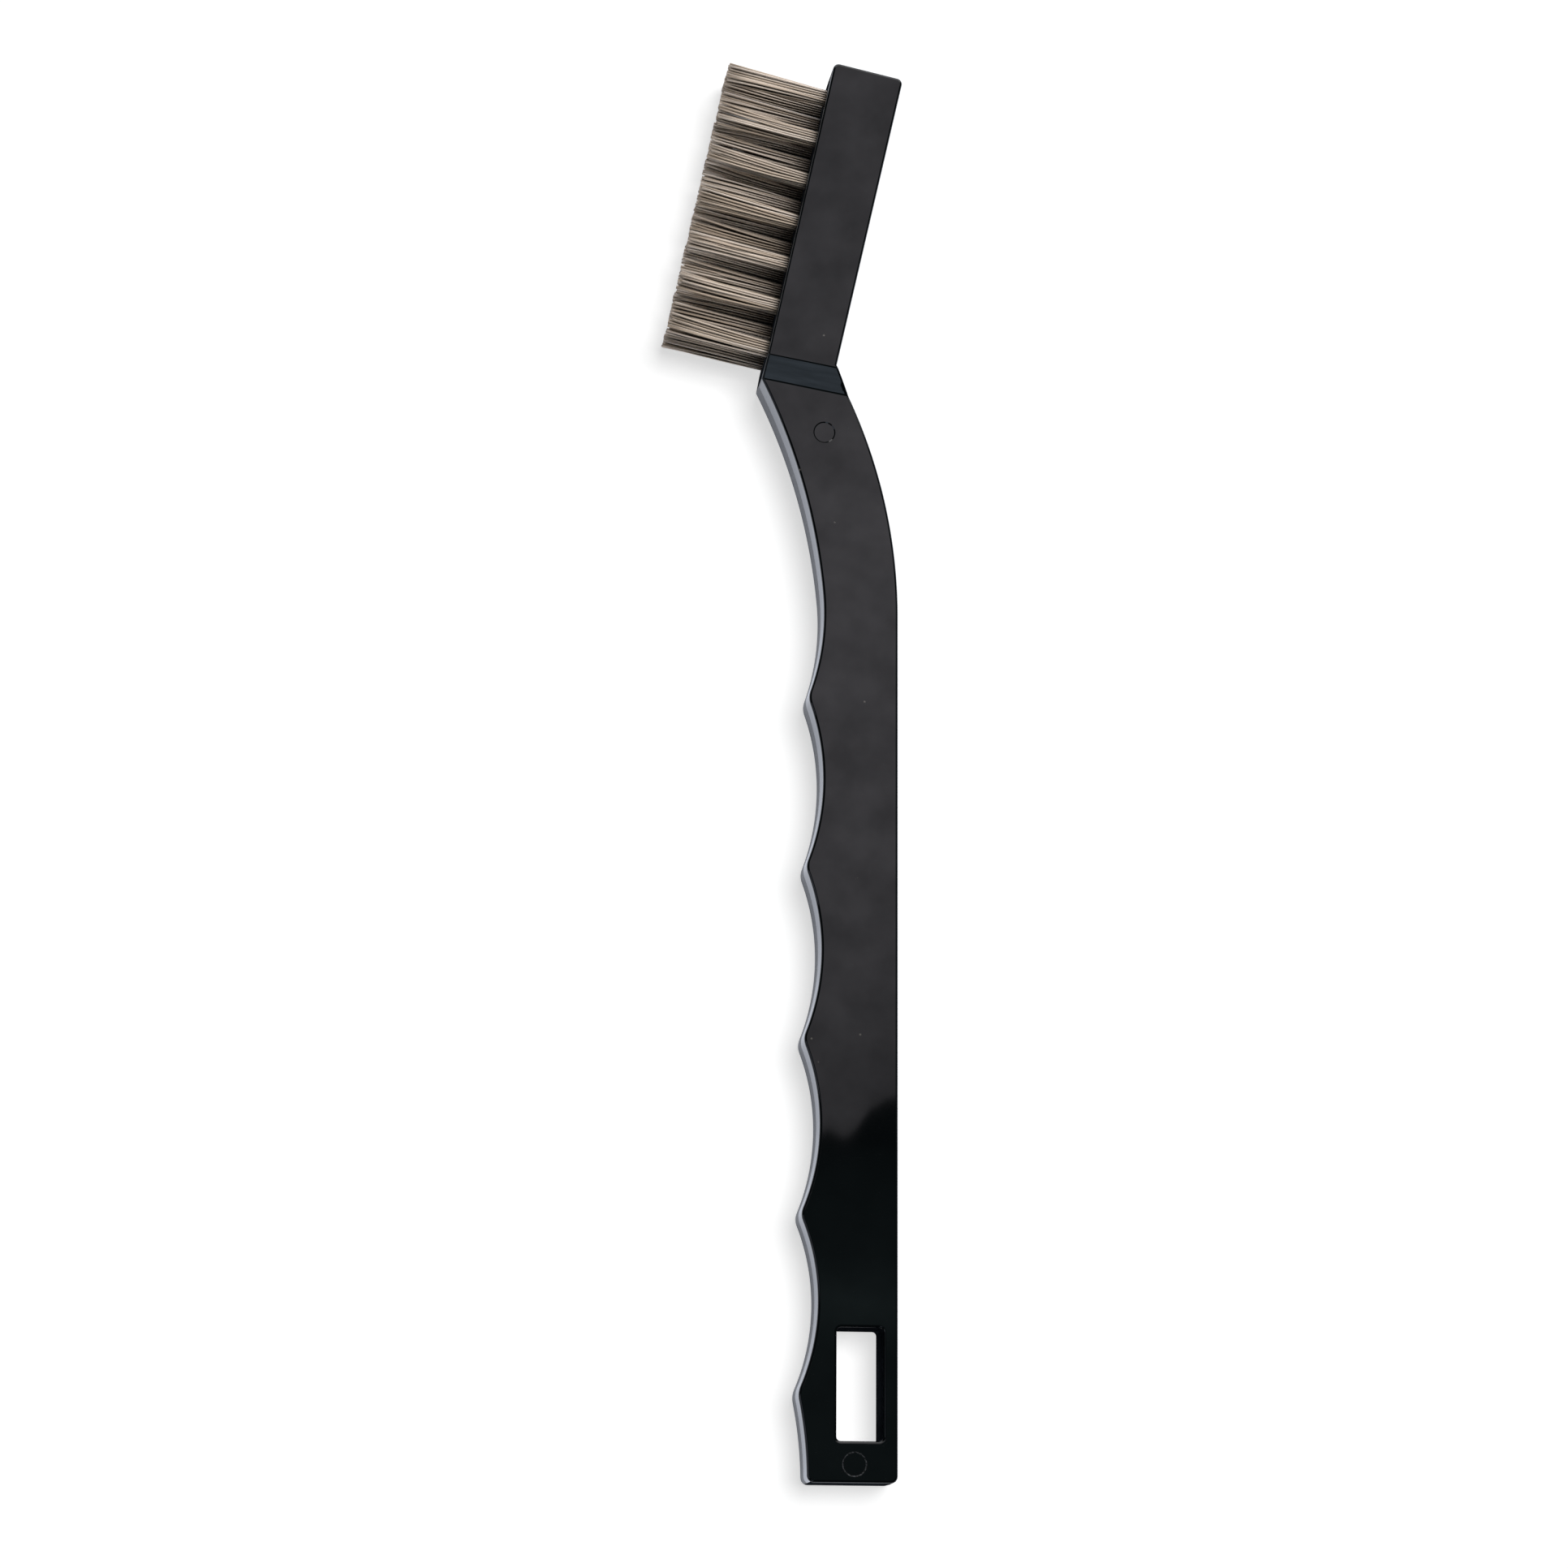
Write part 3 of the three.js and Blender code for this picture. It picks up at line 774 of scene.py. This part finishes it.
# The camera sees the even white of a backdrop. A mirror image of it is cooler, and dimmed where the brush
# shades the table.
ray = add(tree, "ShaderNodeLightPath").outputs
backdrop_colour = add(
    tree,
    "ShaderNodeMix",
    {"Factor": ray["Is Glossy Ray"], 6: linear("#ffffff"), 7: linear("#ebf1ff")},
    data_type="RGBA",
)
tree.links.new(backdrop_colour.outputs[2], shader.inputs["Emission Color"])
backdrop_share, mirrored_share = 0.648, 0.98
shade_reach = 15 * mm
full_shade, no_shade = 0.12, 0.55  # shares of open sky
open_sky = add(tree, "ShaderNodeAmbientOcclusion", {"Distance": shade_reach}, samples=sky_samples)
unshaded = add(
    tree,
    "ShaderNodeMapRange",
    {
        "Value": open_sky.outputs["AO"],
        "From Min": full_shade,
        "From Max": no_shade,
        "To Max": mirrored_share,
    },
)
mirrored = add(
    tree,
    "ShaderNodeMath",
    {0: unshaded.outputs[0], 1: ray["Is Glossy Ray"]},
    operation="MULTIPLY",
)
lift = add(
    tree,
    "ShaderNodeMath",
    {0: ray["Is Camera Ray"], 1: backdrop_share, 2: mirrored.outputs[0]},
    operation="MULTIPLY_ADD",
)
tree.links.new(lift.outputs[0], shader.inputs["Emission Strength"])

# From below the table is left out, so that the brush's underside can be seen
left_out = add(tree, "ShaderNodeBsdfTransparent")
from_below = add(tree, "ShaderNodeNewGeometry").outputs["Backfacing"]
one_sided = add(
    tree, "ShaderNodeMixShader", {0: from_below, 1: shader.outputs[0], 2: left_out.outputs[0]}
)
tree.links.new(one_sided.outputs[0], tree.nodes["Material Output"].inputs["Surface"])
table_piece = piece_from(table, "table")
table_piece.data.materials.append(matt_white)


# Light
# A broad soft key from the upper right gives the short soft shadow. Cards stand where the polished plastic
# and the wires mirror them: two overhead, a bright one behind the head end, and cooler ones in front and
# beside.


def area_card(name, centre, toward, size, radiance, colour):
    """A lit card, placed and sized in metres, that shows only in reflections."""
    lamp = bpy.data.lights.new(name, "AREA")
    lamp.shape = "RECTANGLE"
    lamp.size, lamp.size_y = size
    lamp.energy = math.pi * size[0] * size[1] * radiance
    lamp.color = linear(colour)[:3]
    card = bpy.data.objects.new(name, lamp)
    card.location = centre
    card.rotation_euler = (Vector(toward) - Vector(centre)).to_track_quat("-Z", "Y").to_euler()
    card.visible_camera = False
    card.visible_diffuse = False
    bpy.context.scene.collection.objects.link(card)
    return card


def fade_along(card, stops):
    """Gives a card a strength of its own at each stop on its way from the near edge to the far one."""
    card.data.use_nodes = True
    tree = card.data.node_tree
    on_card = add(tree, "ShaderNodeNewGeometry").outputs["Parametric"]
    along_card = add(tree, "ShaderNodeSeparateXYZ", {0: on_card})
    fade = add(tree, "ShaderNodeValToRGB", {"Fac": along_card.outputs["Y"]})
    fade.color_ramp.elements.remove(fade.color_ramp.elements[1])
    for position, strength in stops:
        stop = fade.color_ramp.elements.new(position) if position else fade.color_ramp.elements[0]
        stop.color = (strength, strength, strength, 1)
    tree.links.new(fade.outputs["Color"], tree.nodes["Emission"].inputs["Strength"])


# The large overhead card is the sheen of the head, the neck and the upper grip, fullest over the neck
card_height = 0.9
overhead_middle = Vector((0.107, 0.374))
overhead_turn = math.radians(26)
overhead_card = area_card(
    "overhead_card",
    centre=(*overhead_middle, card_height),
    toward=(*overhead_middle, 0),
    size=(0.75, 0.56),
    radiance=1.0,
    colour="#fcf7ff",
)
overhead_card.rotation_euler.z = overhead_turn
fade_along(overhead_card, ((0, 0.6), (0.08, 0.78), (0.17, 0.96), (0.33, 1.08), (0.46, 0.86), (1, 0.9)))

# A faint one nearer the camera lifts the black of the butt end
butt_middle = Vector((0.122, -0.081))
butt_card = area_card(
    "butt_card",
    centre=(*butt_middle, card_height),
    toward=(*butt_middle, 0),
    size=(0.3, 0.29),
    radiance=0.2,
    colour="#dafdff",
)
fade_along(butt_card, ((0, 0.4), (0.76, 0.37), (0.82, 0.82), (0.875, 0.32), (0.93, 0.3), (1, 0.1)))

# Beside the grip, for the finger side and its rounded edges
area_card(
    "finger_card",
    centre=(-0.75, -0.25, 0.85),
    toward=(0.0, -0.06, 0.009),
    size=(0.5, 0.7),
    radiance=0.8,
    colour="#e4ecff",
)

# Behind the head end, for the wires and the end of the head
area_card(
    "back_card",
    centre=(0.1, 0.95, 0.55),
    toward=(0.0, 0.07, 0.05),
    size=(1.5, 0.9),
    radiance=2.0,
    colour="#ffffff",
)

# In front, for the slope between the grip and the head
area_card(
    "front_card",
    centre=(-0.109, -0.672, 0.71),
    toward=(-0.005, 0.045, 0.009),
    size=(0.3, 0.3),
    radiance=0.85,
    colour="#d8ebff",
)

key_direction = Vector((-0.24, -0.2, -1))
key_lamp = bpy.data.lights.new("soft_key", "SUN")
key_lamp.energy = 2.2
key_lamp.angle = math.radians(33)
key = bpy.data.objects.new("soft_key", key_lamp)
key.rotation_euler = key_direction.to_track_quat("-Z", "Y").to_euler()
key.visible_glossy = False
bpy.context.scene.collection.objects.link(key)

# A dim room lights the rest, and the camera sees white past the table's edge
world = bpy.data.worlds.new("studio")
world.use_nodes = True
bpy.context.scene.world = world
tree = world.node_tree
tree.nodes.clear()
dim = add(tree, "ShaderNodeBackground", {"Color": linear("#1e2629"), "Strength": 1})
white = add(tree, "ShaderNodeBackground", {"Color": linear("#ffffff"), "Strength": 1})
ray = add(tree, "ShaderNodeLightPath").outputs
mixed = add(
    tree, "ShaderNodeMixShader", {0: ray["Is Camera Ray"], 1: dim.outputs[0], 2: white.outputs[0]}
)
add(tree, "ShaderNodeOutputWorld", {"Surface": mixed.outputs[0]})


# Camera
# A long lens high above the bristle side and the butt, so a little of the finger side's wall shows.

aim = Vector((0.505, -4.92, 8.8)) * mm
stand = Vector((-59.46, -117.16, 526.38)) * mm
roll = math.radians(0.331)
forward = (aim - stand).normalized()
right = forward.cross(Vector((0, 1, 0))).normalized()
turned = Matrix((right, right.cross(forward), -forward)).transposed() @ Matrix.Rotation(roll, 3, "Z")
lens = bpy.data.cameras.new("camera")
lens.lens, lens.sensor_width = 97.13, 36
camera = bpy.data.objects.new("camera", lens)
camera.matrix_world = Matrix.Translation(stand) @ turned.to_4x4()
bpy.context.scene.collection.objects.link(camera)
bpy.context.scene.camera = camera
bpy.context.scene.view_settings.view_transform = "Standard"
